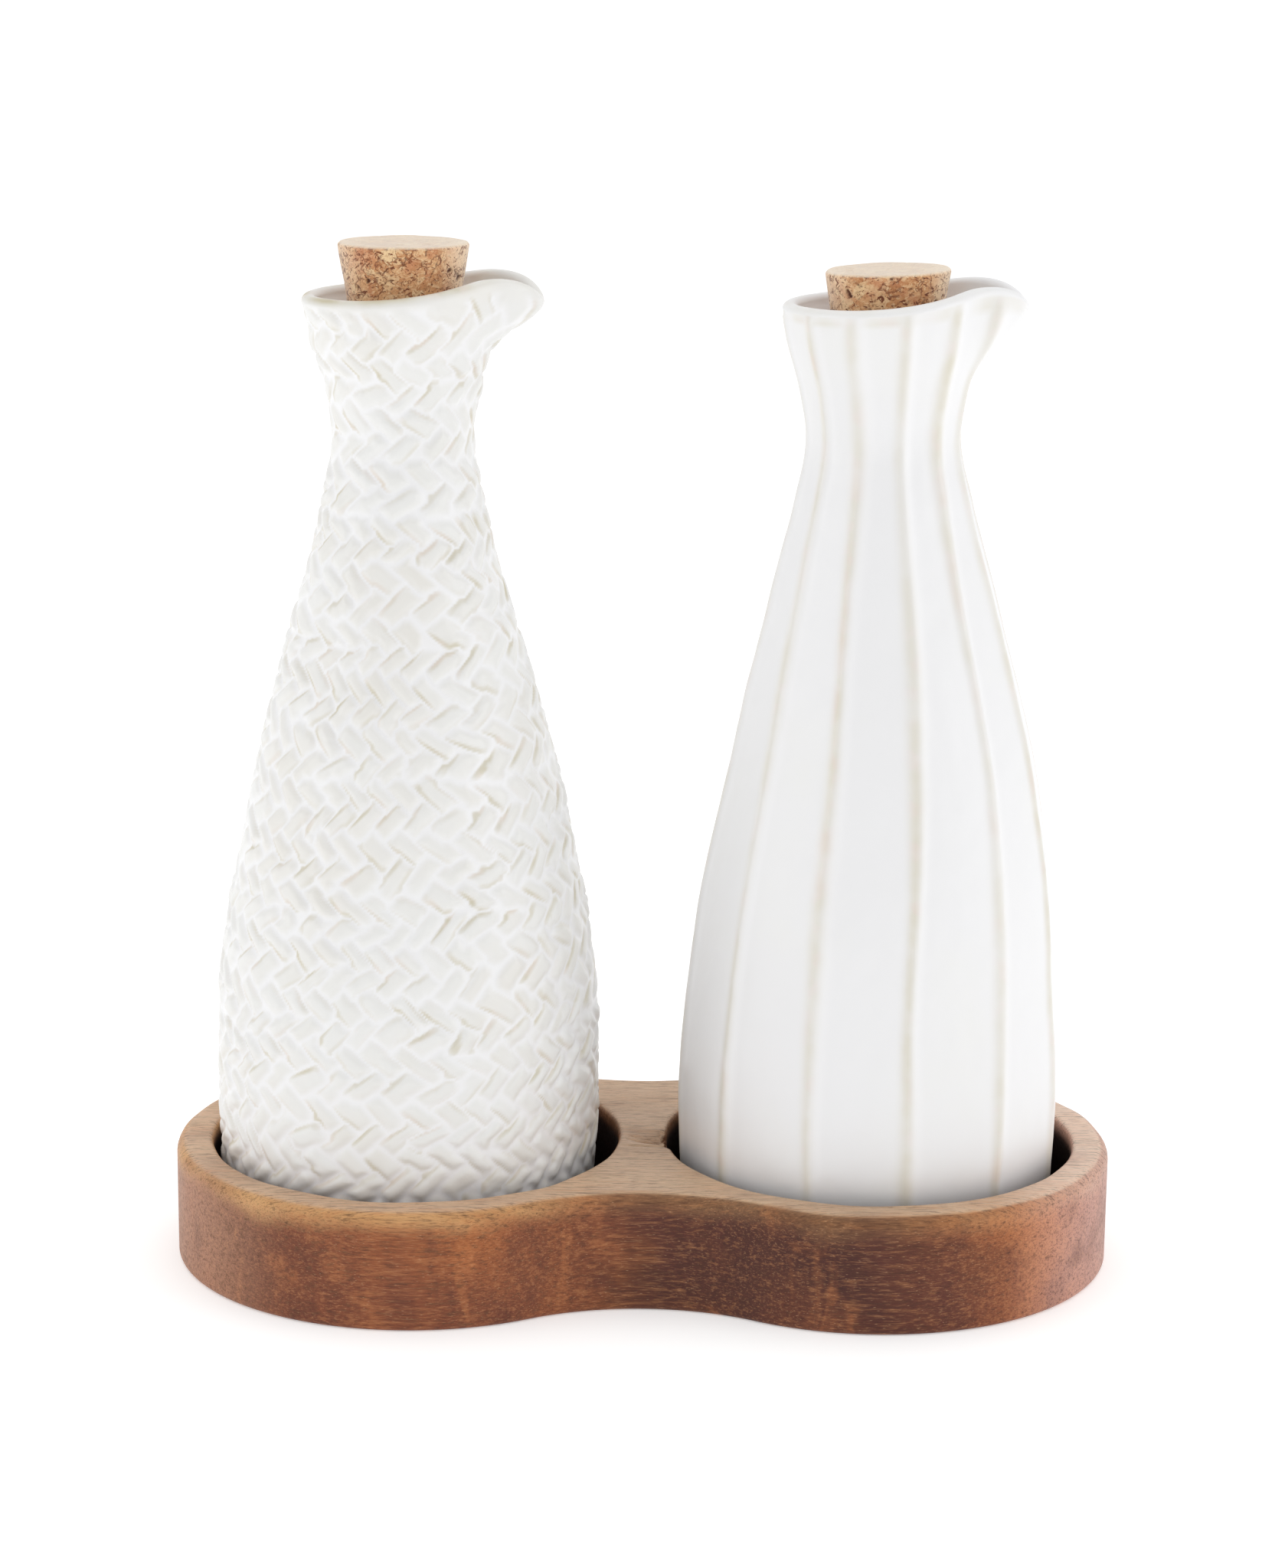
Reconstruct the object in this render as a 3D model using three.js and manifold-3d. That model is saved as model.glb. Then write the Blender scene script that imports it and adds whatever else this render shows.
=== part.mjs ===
// Oil and vinegar cruet set: two glazed stoneware bottles with cork stoppers, standing in the
// two round wells of a one-piece wooden tray shaped like a figure eight.
// Millimetres, +Z up. The origin is on the table, at the middle of the tray's underside.
// +X runs along the tray, towards the ribbed bottle, and both spouts point along +X.

import * as THREE from 'three';
import { mergeVertices } from 'three/addons/utils/BufferGeometryUtils.js';
import Module from 'manifold-3d';

const wasm = await Module();
wasm.setup();

// Gap left between two pieces that touch on the real object.
const FIT_GAP = 0.3;

// Tray: two round lobes joined by a waist that curves inwards.
const TRAY_LENGTH = 198;
const TRAY_HEIGHT = 25.4;
const LOBE_RADIUS = 50.8;
const LOBE_OFFSET = TRAY_LENGTH / 2 - LOBE_RADIUS;
const WAIST_HALF_WIDTH = 37.9;
const TRAY_BOTTOM_ROUND = 1.3;
const TRAY_TOP_ROUND = 2.4;
const WELL_RADIUS = 43.1;
const WELL_FLOOR = 9;
const WELL_CORNER = 1.5;
const WELL_LIP_ROUND = 1.2;

// Bottles. Heights are measured from each bottle's own foot.
const BOTTLE_STANDS_AT = WELL_FLOOR + FIT_GAP;
const FOOT_RADIUS = 37.5;
const FOOT_RING_WIDTH = 5;
const FOOT_RECESS = 1.6;
const FLOOR_THICKNESS = 6;
const WALL = 4.2;
const LIP_THICKNESS = 3.2;
// The bore narrows to this radius in the neck, and then opens towards the mouth.
const BORE_RADIUS = 9.6;
const BORE_BOTTOM = 158;
const SPOUT_START = 183;
const SPOUT_GROWTH = 1.5;

// The wells are wider than the feet, so each bottle stands a little off the middle of its well:
// wellShift is how far along X.
const WEAVE_BOTTLE = {
  // [height, radius]: foot edge, belly, shoulder, neck, mouth.
  outline: [
    [6, 39.3], [30, 40.2], [52, 39.5], [75, 35.9], [105, 29.4], [135, 20.9],
    [152, 16.7], [164.5, 14.6], [176, 15.9], [185.3, 18.5], [192.8, 20.4],
  ],
  spoutReach: 8.7,
  rimLift: 4.3,
  channelDip: 4.4,
  wellShift: -1.8,
};
const RIBBED_BOTTLE = {
  outline: [
    [6, 39.6], [30, 40.4], [52, 38.9], [75, 36.4], [105, 30.5], [135, 22.9],
    [152, 18.4], [165, 15.75], [176, 17.1], [185.4, 19.7], [191.7, 21],
  ],
  spoutReach: 8.2,
  rimLift: 4.6,
  channelDip: 4,
  wellShift: -0.3,
};
const SPOUT_SPREAD = 0.36;
const RIM_LIFT_SPREAD = 1.12;
const CHANNEL_SPREAD = 0.24;

// Corks: tapered stoppers. The top radius and how high the top stands above the table differ.
const CORK_LENGTH = 28;
const CORK_TAPER = 0.15;
const CORK_EDGE_ROUND = 0.8;
const WEAVE_CORK = { topRadius: 13.3, topHeight: 214.4 };
const RIBBED_CORK = { topRadius: 12.8, topHeight: 210.2 };

// How finely round shapes are divided.
const BOTTLE_SIDES = 36;
const CORK_SIDES = 28;
const LOBE_STEPS = 26;
const WAIST_STEPS = 7;
const ROUND_STEPS = 2;
const OUTLINE_STEPS = 15;
const BORE_STEPS = 9;

// ---------------------------------------------------------------------------------------
// Helpers

function toSolid(geometry) {
  const bare = geometry.clone();
  bare.deleteAttribute('normal');
  bare.deleteAttribute('uv');
  const merged = mergeVertices(bare, 1e-4);
  const mesh = new wasm.Mesh({
    numProp: 3,
    vertProperties: new Float32Array(merged.attributes.position.array),
    triVerts: new Uint32Array(merged.index.array),
  });
  return new wasm.Manifold(mesh);
}

function toGeometry(solid) {
  const mesh = solid.getMesh();
  const geometry = new THREE.BufferGeometry();
  geometry.setAttribute('position', new THREE.BufferAttribute(mesh.vertProperties, 3));
  geometry.setIndex(new THREE.BufferAttribute(mesh.triVerts, 1));
  geometry.computeVertexNormals();
  return geometry;
}

// Turns an outline of [radius, height] about the Z axis. The outline runs from the axis back to
// the axis, with the material on its inner side.
function turned(outline, sides) {
  const points = outline.map(([radius, height]) => new THREE.Vector2(radius, height));
  const geometry = new THREE.LatheGeometry(points, sides);
  geometry.rotateX(Math.PI / 2);
  return geometry;
}

// Points of a quarter round, from one angle to another, about a centre.
function arcPoints(centreX, centreY, radius, from, to, steps) {
  const points = [];
  for (let i = 0; i <= steps; i += 1) {
    const angle = from + ((to - from) * i) / steps;
    points.push([centreX + radius * Math.cos(angle), centreY + radius * Math.sin(angle)]);
  }
  return points;
}

function bell(value, spread) {
  return Math.exp(-((value / spread) ** 2));
}

// ---------------------------------------------------------------------------------------
// Tray

// The waist is an arc that touches both lobes from outside.
const WAIST_RADIUS =
  (LOBE_OFFSET ** 2 + WAIST_HALF_WIDTH ** 2 - LOBE_RADIUS ** 2) /
  (2 * (LOBE_RADIUS - WAIST_HALF_WIDTH));
const WAIST_CENTRE = WAIST_HALF_WIDTH + WAIST_RADIUS;

// The tray's outline, drawn in by an inset: each lobe shrinks and each waist arc grows.
function trayOutline(inset) {
  const meet = Math.atan2(WAIST_CENTRE, -LOBE_OFFSET);
  const lobe = LOBE_RADIUS - inset;
  const waist = WAIST_RADIUS + inset;
  const half = [
    ...arcPoints(LOBE_OFFSET, 0, lobe, -meet, meet, LOBE_STEPS),
    ...arcPoints(0, WAIST_CENTRE, waist, meet - Math.PI, -meet, WAIST_STEPS).slice(1, -1),
  ];
  const other = half.map(([x, y]) => [-x, -y]);
  return [...half, ...other];
}

// Joins outlines of equal length, one above another, into a closed body with flat ends.
function stackedBody(levels) {
  const positions = [];
  const index = [];
  const count = levels[0].outline.length;
  for (const { outline, height } of levels) {
    for (const [x, y] of outline) positions.push(x, y, height);
  }
  for (let level = 0; level < levels.length - 1; level += 1) {
    for (let i = 0; i < count; i += 1) {
      const a = level * count + i;
      const b = level * count + ((i + 1) % count);
      index.push(a, b, b + count, a, b + count, a + count);
    }
  }
  const cap = THREE.ShapeUtils.triangulateShape(
    levels[0].outline.map(([x, y]) => new THREE.Vector2(x, y)),
    [],
  );
  const top = (levels.length - 1) * count;
  for (const [a, b, c] of cap) {
    index.push(c, b, a);
    index.push(top + a, top + b, top + c);
  }
  const geometry = new THREE.BufferGeometry();
  geometry.setAttribute('position', new THREE.Float32BufferAttribute(positions, 3));
  geometry.setIndex(index);
  return geometry;
}

function wellCutter(centreX) {
  const floorRound = arcPoints(
    WELL_RADIUS - WELL_CORNER, WELL_FLOOR + WELL_CORNER, WELL_CORNER,
    -Math.PI / 2, 0, ROUND_STEPS,
  );
  const lipRound = arcPoints(
    WELL_RADIUS + WELL_LIP_ROUND, TRAY_HEIGHT - WELL_LIP_ROUND, WELL_LIP_ROUND,
    Math.PI, Math.PI / 2, ROUND_STEPS,
  );
  const above = TRAY_HEIGHT + 5;
  const outline = [
    [0, WELL_FLOOR], ...floorRound, ...lipRound,
    [WELL_RADIUS + WELL_LIP_ROUND, above], [0, above],
  ];
  return toSolid(turned(outline, BOTTLE_SIDES).translate(centreX, 0, 0));
}

function trayGeometry() {
  const bottomRound = arcPoints(
    TRAY_BOTTOM_ROUND, TRAY_BOTTOM_ROUND, TRAY_BOTTOM_ROUND,
    -Math.PI / 2, -Math.PI, ROUND_STEPS,
  );
  const topRound = arcPoints(
    TRAY_TOP_ROUND, TRAY_HEIGHT - TRAY_TOP_ROUND, TRAY_TOP_ROUND,
    Math.PI, Math.PI / 2, ROUND_STEPS,
  );
  const levels = [...bottomRound, ...topRound].map(([inset, height]) => ({
    outline: trayOutline(inset),
    height,
  }));
  const blank = toSolid(stackedBody(levels));
  const hollowed = blank.subtract(wellCutter(-LOBE_OFFSET)).subtract(wellCutter(LOBE_OFFSET));
  return toGeometry(hollowed);
}

// ---------------------------------------------------------------------------------------
// Bottles

// A smooth line through a bottle's outline, as evenly spaced [radius, height] points.
function outerOutline(bottle) {
  const knots = bottle.outline.map(([height, radius]) => new THREE.Vector2(radius, height));
  const line = new THREE.SplineCurve(knots);
  return line.getSpacedPoints(OUTLINE_STEPS).map((point) => [point.x, point.y]);
}

function radiusAt(outline, height) {
  for (let i = 1; i < outline.length; i += 1) {
    const [lowRadius, low] = outline[i - 1];
    const [highRadius, high] = outline[i];
    if (height <= high) {
      return THREE.MathUtils.mapLinear(height, low, high, lowRadius, highRadius);
    }
  }
  return outline.at(-1)[0];
}

// The bore follows the outside at one wall's distance up to the neck, is straight under the cork,
// follows the cork's taper where the cork sits, and flares into the mouth.
function boreOutline(outline, rim, cork) {
  const corkTop = cork.topHeight - BOTTLE_STANDS_AT;
  const corkBottom = corkTop - CORK_LENGTH;
  const seatTop = corkBottom + 5;
  const corkRadiusAt = (height) => cork.topRadius - CORK_TAPER * (corkTop - height);
  const boreRadiusAt = (height) => {
    if (height <= corkBottom) {
      return Math.max(radiusAt(outline, height) - WALL, BORE_RADIUS);
    }
    const seat = corkRadiusAt(height) + FIT_GAP + 0.1;
    if (height <= seatTop) return Math.max(seat, BORE_RADIUS);
    const share = (height - seatTop) / (rim - seatTop);
    const mouth = radiusAt(outline, rim) - LIP_THICKNESS;
    return THREE.MathUtils.lerp(corkRadiusAt(seatTop) + FIT_GAP + 0.1, mouth, share ** 0.9);
  };
  const heights = [];
  const floorTop = FLOOR_THICKNESS + 3;
  for (let i = 0; i < BORE_STEPS; i += 1) {
    heights.push(THREE.MathUtils.lerp(floorTop, BORE_BOTTOM, i / (BORE_STEPS - 1)));
  }
  heights.push(corkBottom, seatTop);
  const flareSteps = 5;
  for (let i = 1; i <= flareSteps; i += 1) {
    heights.push(THREE.MathUtils.lerp(seatTop, rim, i / flareSteps));
  }
  return heights.map((height) => [boreRadiusAt(height), height]);
}

// Pulls the round mouth out into a pouring lip towards +X. The rim climbs towards the lip and
// dips again at its tip, where the channel runs out.
function pullSpout(geometry, bottle, rim) {
  const position = geometry.attributes.position;
  for (let i = 0; i < position.count; i += 1) {
    const x = position.getX(i);
    const y = position.getY(i);
    const z = position.getZ(i);
    const rise = THREE.MathUtils.clamp((z - SPOUT_START) / (rim - SPOUT_START), 0, 1);
    if (rise === 0) continue;
    const angle = Math.atan2(y, x);
    const reach = bottle.spoutReach * bell(angle, SPOUT_SPREAD) * rise ** SPOUT_GROWTH;
    const lift =
      bottle.rimLift * bell(angle, RIM_LIFT_SPREAD) -
      bottle.channelDip * bell(angle, CHANNEL_SPREAD);
    position.setX(i, x + reach * Math.cos(angle));
    position.setY(i, y + reach * Math.sin(angle));
    position.setZ(i, z + lift * rise ** 2);
  }
}

function bottleGeometry(bottle, cork) {
  const outside = outerOutline(bottle);
  const [rimRadius, rim] = outside.at(-1);
  const bore = boreOutline(outside, rim, cork).reverse();
  const recess = FOOT_RADIUS - FOOT_RING_WIDTH;
  const lip = arcPoints(
    rimRadius - LIP_THICKNESS / 2, rim, LIP_THICKNESS / 2, 0, Math.PI, ROUND_STEPS + 1,
  );
  const outline = [
    [0, FOOT_RECESS], [recess - 1.5, FOOT_RECESS], [recess, 0], [FOOT_RADIUS, 0],
    [FOOT_RADIUS + 1.3, 1.8],
    ...outside.slice(0, -1), ...lip, ...bore.slice(1),
    [bore.at(-1)[0] - 3, FLOOR_THICKNESS], [0, FLOOR_THICKNESS],
  ];
  const geometry = turned(outline, BOTTLE_SIDES);
  pullSpout(geometry, bottle, rim);
  return geometry;
}

// ---------------------------------------------------------------------------------------
// Corks

function corkGeometry(cork) {
  const bottomRadius = cork.topRadius - CORK_TAPER * CORK_LENGTH;
  const round = CORK_EDGE_ROUND;
  const outline = [
    [0, 0],
    ...arcPoints(bottomRadius - round, round, round, -Math.PI / 2, 0, ROUND_STEPS),
    ...arcPoints(
      cork.topRadius - round, CORK_LENGTH - round, round, 0, Math.PI / 2, ROUND_STEPS,
    ),
    [0, CORK_LENGTH],
  ];
  return turned(outline, CORK_SIDES);
}

// ---------------------------------------------------------------------------------------
// Materials and assembly

const MATERIALS = {
  wood: new THREE.MeshStandardMaterial({ color: 0x9a6444, roughness: 0.6, metalness: 0 }),
  glaze: new THREE.MeshStandardMaterial({ color: 0xebe8e3, roughness: 0.25, metalness: 0 }),
  cork: new THREE.MeshStandardMaterial({ color: 0xc99b6c, roughness: 0.9, metalness: 0 }),
};

function piece(name, geometry, material) {
  const mesh = new THREE.Mesh(geometry, material.clone());
  mesh.name = name;
  return mesh;
}

const cruetSet = new THREE.Group();
cruetSet.add(piece('tray', trayGeometry(), MATERIALS.wood));

const places = [
  { style: 'weave', bottle: WEAVE_BOTTLE, cork: WEAVE_CORK, wellX: -LOBE_OFFSET },
  { style: 'ribbed', bottle: RIBBED_BOTTLE, cork: RIBBED_CORK, wellX: LOBE_OFFSET },
];
for (const { style, bottle, cork, wellX } of places) {
  const stand = new THREE.Group();
  stand.position.set(wellX + bottle.wellShift, 0, BOTTLE_STANDS_AT);
  stand.add(piece(`${style}_bottle`, bottleGeometry(bottle, cork), MATERIALS.glaze));
  const stopper = piece(`${style}_cork`, corkGeometry(cork), MATERIALS.cork);
  stopper.position.z = cork.topHeight - CORK_LENGTH - BOTTLE_STANDS_AT;
  stand.add(stopper);
  cruetSet.add(stand);
}

export default cruetSet;
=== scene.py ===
import math

import bpy
import numpy as np
from mathutils import Matrix, Vector
from mathutils.geometry import tessellate_polygon


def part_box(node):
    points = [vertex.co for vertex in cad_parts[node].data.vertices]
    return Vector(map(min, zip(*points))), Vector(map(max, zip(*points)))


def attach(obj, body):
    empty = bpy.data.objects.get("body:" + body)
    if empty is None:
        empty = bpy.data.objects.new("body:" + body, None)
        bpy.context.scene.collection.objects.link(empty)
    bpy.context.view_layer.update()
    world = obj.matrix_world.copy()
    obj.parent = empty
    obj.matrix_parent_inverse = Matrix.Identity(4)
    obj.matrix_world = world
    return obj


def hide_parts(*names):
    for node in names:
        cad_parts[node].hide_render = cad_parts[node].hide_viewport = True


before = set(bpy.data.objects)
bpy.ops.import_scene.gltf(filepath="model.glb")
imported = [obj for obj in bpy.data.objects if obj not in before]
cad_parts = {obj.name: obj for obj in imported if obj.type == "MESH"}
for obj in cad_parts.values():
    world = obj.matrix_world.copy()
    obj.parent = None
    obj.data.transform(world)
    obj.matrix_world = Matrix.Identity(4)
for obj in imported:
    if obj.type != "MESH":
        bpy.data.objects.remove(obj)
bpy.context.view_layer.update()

# The looks of the cruet set: a wooden tray, two glazed bottles and their corks. Shapes are worked
# out in millimetres and become metres when a mesh is made.
MM = 0.001
RIPPLE_WAVES = 14
SPLINE_SAMPLES = 40


# ------------------------------------------------------------------------------------------
# Numbers along lines and over surfaces

def smooth(low, high, value):
    """0 below low, 1 above high, and an even S-curve between them."""
    share = np.clip((value - low) / (high - low), 0, 1)
    return share * share * (3 - 2 * share)


def bell(value, spread):
    """1 at zero, falling away evenly to both sides."""
    return np.exp(-((value / spread) ** 2))


def ripple(points, wavelength, seed):
    """Smooth unevenness of about unit size, with bumps about one wavelength apart."""
    rng = np.random.default_rng(seed)
    total = np.zeros(points.shape[:-1])
    for _ in range(RIPPLE_WAVES):
        direction = rng.normal(size=3)
        direction /= np.linalg.norm(direction)
        turns = 2 * math.pi / (wavelength * rng.uniform(0.7, 1.6))
        total += np.sin(points @ direction * turns + rng.uniform(0, 2 * math.pi))
    return total * math.sqrt(2 / RIPPLE_WAVES)


def spline(knots, steps):
    """A smooth line through the knots (Catmull-Rom), as evenly spaced points."""
    knots = np.array(knots, float)
    padded = np.vstack([knots[0], knots, knots[-1]])
    fine = []
    for i in range(len(knots) - 1):
        before, start, end, after = padded[i:i + 4]
        for t in np.linspace(0, 1, SPLINE_SAMPLES, endpoint=False):
            fine.append(0.5 * (
                2 * start + (end - before) * t
                + (2 * before - 5 * start + 4 * end - after) * t ** 2
                + (3 * start - before - 3 * end + after) * t ** 3
            ))
    fine.append(knots[-1])
    return resample(np.array(fine), steps)


def resample(line, steps):
    """The same line with steps + 1 evenly spaced points."""
    lengths = line_lengths(line)
    wanted = np.linspace(0, lengths[-1], steps + 1)
    return np.column_stack([np.interp(wanted, lengths, line[:, k]) for k in range(2)])


def line_lengths(line):
    """How far along the line each of its points is."""
    steps = np.hypot(*np.diff(line, axis=0).T)
    return np.concatenate([[0], np.cumsum(steps)])


def arc(centre, radius, start, end, steps):
    """Points along part of a circle, from one angle in degrees to another."""
    angles = np.radians(np.linspace(start, end, steps + 1))
    return np.column_stack([
        centre[0] + radius * np.cos(angles), centre[1] + radius * np.sin(angles),
    ])


# ------------------------------------------------------------------------------------------
# Meshes

class Shell:
    """A closed surface built from rings of points, each ring with the same number of points."""

    def __init__(self):
        self.points, self.quads, self.triangles = [], [], []
        self.values = {}
        self.count = 0

    def ring(self, points, **values):
        """Adds a ring of points, each with a number for each named value."""
        first = self.count
        self.points.append(points)
        for name, value in values.items():
            self.values.setdefault(name, []).append((first, value))
        self.count += len(points)
        return np.arange(first, self.count)

    def join(self, lower, upper):
        """Faces between two rings. They face out when the upper ring is above, turning left."""
        self.quads.append(np.column_stack([
            lower, np.roll(lower, -1), np.roll(upper, -1), upper,
        ]))

    def close(self, ring, centre, up):
        """Fills a ring with a fan about a centre point, facing up or down."""
        middle = np.full(len(ring), self.ring(np.array([centre]))[0])
        sides = (ring, np.roll(ring, -1)) if up else (np.roll(ring, -1), ring)
        self.triangles.append(np.column_stack([middle, *sides]))

    def make(self, name):
        """The shell as a mesh object in the scene."""
        points = np.vstack(self.points) * MM
        faces = [row for part in self.quads for row in part.tolist()]
        faces += [row for part in self.triangles for row in part.tolist()]
        mesh = bpy.data.meshes.new(name)
        mesh.from_pydata(points.tolist(), [], faces)
        for value_name, parts in self.values.items():
            values = np.zeros(len(points), np.float32)
            for first, value in parts:
                values[first:first + len(value)] = value
            layer = mesh.attributes.new(value_name, "FLOAT", "POINT")
            layer.data.foreach_set("value", values)
        mesh.shade_smooth()
        piece = bpy.data.objects.new(name, mesh)
        bpy.context.scene.collection.objects.link(piece)
        return piece


def circle(radius, sides):
    """[x, y] of points round a whole circle, each once."""
    angles = np.arange(sides) * 2 * math.pi / sides
    return np.column_stack([radius * np.cos(angles), radius * np.sin(angles)])


def surface_normals(grid):
    """Outward normals of a grid of rings, found from the neighbours of each point."""
    around = np.roll(grid, -1, axis=1) - np.roll(grid, 1, axis=1)
    along = np.gradient(grid, axis=0)
    normals = np.cross(around, along)
    return normals / np.linalg.norm(normals, axis=2, keepdims=True)


def turned_grid(line, sides):
    """The surface that a [radius, height] line sweeps about the Z axis, ring by ring."""
    angles = np.arange(sides) * 2 * math.pi / sides
    radius, height = line[:, :1], line[:, 1:]
    return np.stack([
        radius * np.cos(angles), radius * np.sin(angles),
        np.broadcast_to(height, (len(line), sides)),
    ], axis=2)


def shell_of_grid(grid, centre, bottom, top, **values):
    """A shell with a ring for each row of the grid, closed at its bottom and its top height. Each
    value has one number for each point of the grid."""
    shell = Shell()
    rings = [shell.ring(points + centre, **{name: value[i] for name, value in values.items()})
             for i, points in enumerate(grid)]
    for lower, upper in zip(rings, rings[1:]):
        shell.join(lower, upper)
    shell.close(rings[0], centre + (0, 0, bottom), up=False)
    shell.close(rings[-1], centre + (0, 0, top), up=True)
    return shell


def finish_piece(piece, node, material):
    """Gives a piece its material, and says which CAD node it moves with and stands for."""
    piece.data.materials.append(material)
    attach(piece, node)
    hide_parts(node)
    return piece


# ------------------------------------------------------------------------------------------
# Materials

class Nodes:
    """A material's node tree, with short ways to add and link nodes."""

    # Which of a Mix node's sockets are the ones for colours.
    MIX_SHARE, MIX_FIRST, MIX_SECOND, MIX_RESULT = 0, 6, 7, 2

    def __init__(self, name):
        self.material = bpy.data.materials.new(name)
        self.material.use_nodes = True
        self.tree = self.material.node_tree
        self.tree.nodes.clear()
        self.place = self.add("ShaderNodeTexCoord").outputs["Object"]

    def add(self, kind, inputs=None, **settings):
        """Adds a node. Its inputs are plain values or other nodes' outputs."""
        node = self.tree.nodes.new(kind)
        for name, value in settings.items():
            setattr(node, name, value)
        for name, value in (inputs or {}).items():
            self.put(node.inputs[name], value)
        return node

    def put(self, socket, value):
        if isinstance(value, bpy.types.NodeSocket):
            self.tree.links.new(value, socket)
        else:
            socket.default_value = value

    def stretched(self, scale):
        """The place in the piece, in metres, with each direction scaled."""
        return self.add("ShaderNodeMapping", {"Vector": self.place, "Scale": scale}).outputs[0]

    def noise(self, scale, detail=3.0, rough=0.5, bend=0.0, place=None):
        """Cloudy noise about 0.5, with scale bumps in a metre."""
        node = self.add("ShaderNodeTexNoise", {
            "Vector": place or self.place, "Scale": scale, "Detail": detail,
            "Roughness": rough, "Distortion": bend,
        })
        return node.outputs["Fac"]

    def cells(self, scale, place, output="Distance", feature="F1"):
        """Cells of random shapes, with scale of them in a metre."""
        inputs = {"Vector": place, "Scale": scale}
        node = self.add("ShaderNodeTexVoronoi", inputs, feature=feature)
        return node.outputs[output]

    def range(self, value, low, high, to_low=0.0, to_high=1.0, soft=True):
        """A value between low and high, turned into one between to_low and to_high."""
        node = self.add("ShaderNodeMapRange", {
            "Value": value, "From Min": low, "From Max": high,
            "To Min": to_low, "To Max": to_high,
        }, interpolation_type="SMOOTHSTEP" if soft else "LINEAR")
        return node.outputs["Result"]

    def math(self, operation, a, b=0.0):
        node = self.add("ShaderNodeMath", operation=operation)
        self.put(node.inputs[0], a)
        self.put(node.inputs[1], b)
        return node.outputs[0]

    def mix(self, share, a, b):
        """Colour a, with a share of colour b over it."""
        node = self.add("ShaderNodeMix", data_type="RGBA")
        self.put(node.inputs[self.MIX_SHARE], share)
        self.put(node.inputs[self.MIX_FIRST], a)
        self.put(node.inputs[self.MIX_SECOND], b)
        return node.outputs[self.MIX_RESULT]

    def ramp(self, value, *stops):
        """The colour that a value has between the stops, each [position, colour]."""
        node = self.add("ShaderNodeValToRGB", {"Fac": value})
        elements = node.color_ramp.elements
        while len(elements) < len(stops):
            elements.new(1.0)
        for element, (position, colour) in zip(elements, stops):
            element.position = position
            element.color = colour
        return node.outputs["Color"]

    def value(self, name):
        """A value that the mesh carries at each of its points."""
        return self.add("ShaderNodeAttribute", attribute_name=name).outputs["Fac"]

    def bump(self, height, strength, distance, below=None):
        """A surface made uneven by a height, over another bump where one is given."""
        inputs = {"Height": height, "Strength": strength, "Distance": distance}
        if below is not None:
            inputs["Normal"] = below
        return self.add("ShaderNodeBump", inputs).outputs["Normal"]

    def finish(self, **inputs):
        """Ends the tree in one shader. Its inputs are named as on the node, in snake case."""
        names = {key.replace("_", " ").title().replace("Ior", "IOR"): value
                 for key, value in inputs.items()}
        shader = self.add("ShaderNodeBsdfPrincipled", names)
        output = self.add("ShaderNodeOutputMaterial")
        self.tree.links.new(shader.outputs["BSDF"], output.inputs["Surface"])
        return self.material


def colour(red, green, blue):
    """A colour as it looks on a screen, 0 to 255, turned into light."""
    def light(level):
        share = level / 255
        return share / 12.92 if share <= 0.04045 else ((share + 0.055) / 1.055) ** 2.4
    return (light(red), light(green), light(blue), 1.0)


# Whiter glaze where it pools, also laid on the ribs' right slopes as a painted highlight.
GLAZE_POOLED = colour(240, 240, 241)
GLAZE_PINK = colour(222, 207, 194)
BARE_CLAY = colour(196, 172, 142)
CLAY_GRAIN = colour(176, 150, 120)
TAN_STRENGTH = 0.85


def glaze_material(name, plain, warm, tan):
    """White satin glaze. It runs thin over raised edges, where the tan clay shows through, pools
    whiter in the hollows, and is absent on the foot ring. The tan is also laid more strongly on
    the left sides of strips and ribs as painted shade, and the whiter glaze on the right slopes of
    ribs as a painted highlight."""
    n = Nodes(name)
    base = n.mix(n.range(n.noise(28, 4, 0.55), 0.45, 0.75), plain, warm)
    # Whiter where the glaze pools, and a painted highlight on the ribs' right slopes.
    base = n.mix(n.value("pooled_glaze"), base, GLAZE_POOLED)
    patchy = n.range(n.noise(110, 2, 0.5), 0.34, 0.66, 0.6, 1.0)
    # Tan where the glaze is thin; on the left sides of strips and ribs it is also painted shade.
    thin = n.math("MULTIPLY", n.value("thin_glaze"), patchy)
    shown = n.math("MULTIPLY", thin, TAN_STRENGTH)
    through = n.mix(n.range(n.noise(170, 2), 0.5, 0.64, 0.0, 0.7), tan, GLAZE_PINK)
    glazed = n.mix(shown, base, through)
    clay = n.mix(n.range(n.noise(1500, 2), 0.35, 0.65), BARE_CLAY, CLAY_GRAIN)
    bare = n.value("bare_clay")
    rough = n.range(n.noise(140, 3), 0.3, 0.7, 0.3, 0.4)
    rough = n.math("ADD", rough, n.math("MULTIPLY", bare, 0.35))
    return n.finish(
        base_color=n.mix(bare, glazed, clay), roughness=rough, ior=1.5,
        normal=n.bump(n.noise(120, 2, 0.5), 0.1, 0.002),
        coat_weight=0.15, coat_roughness=0.2,
    )


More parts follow.
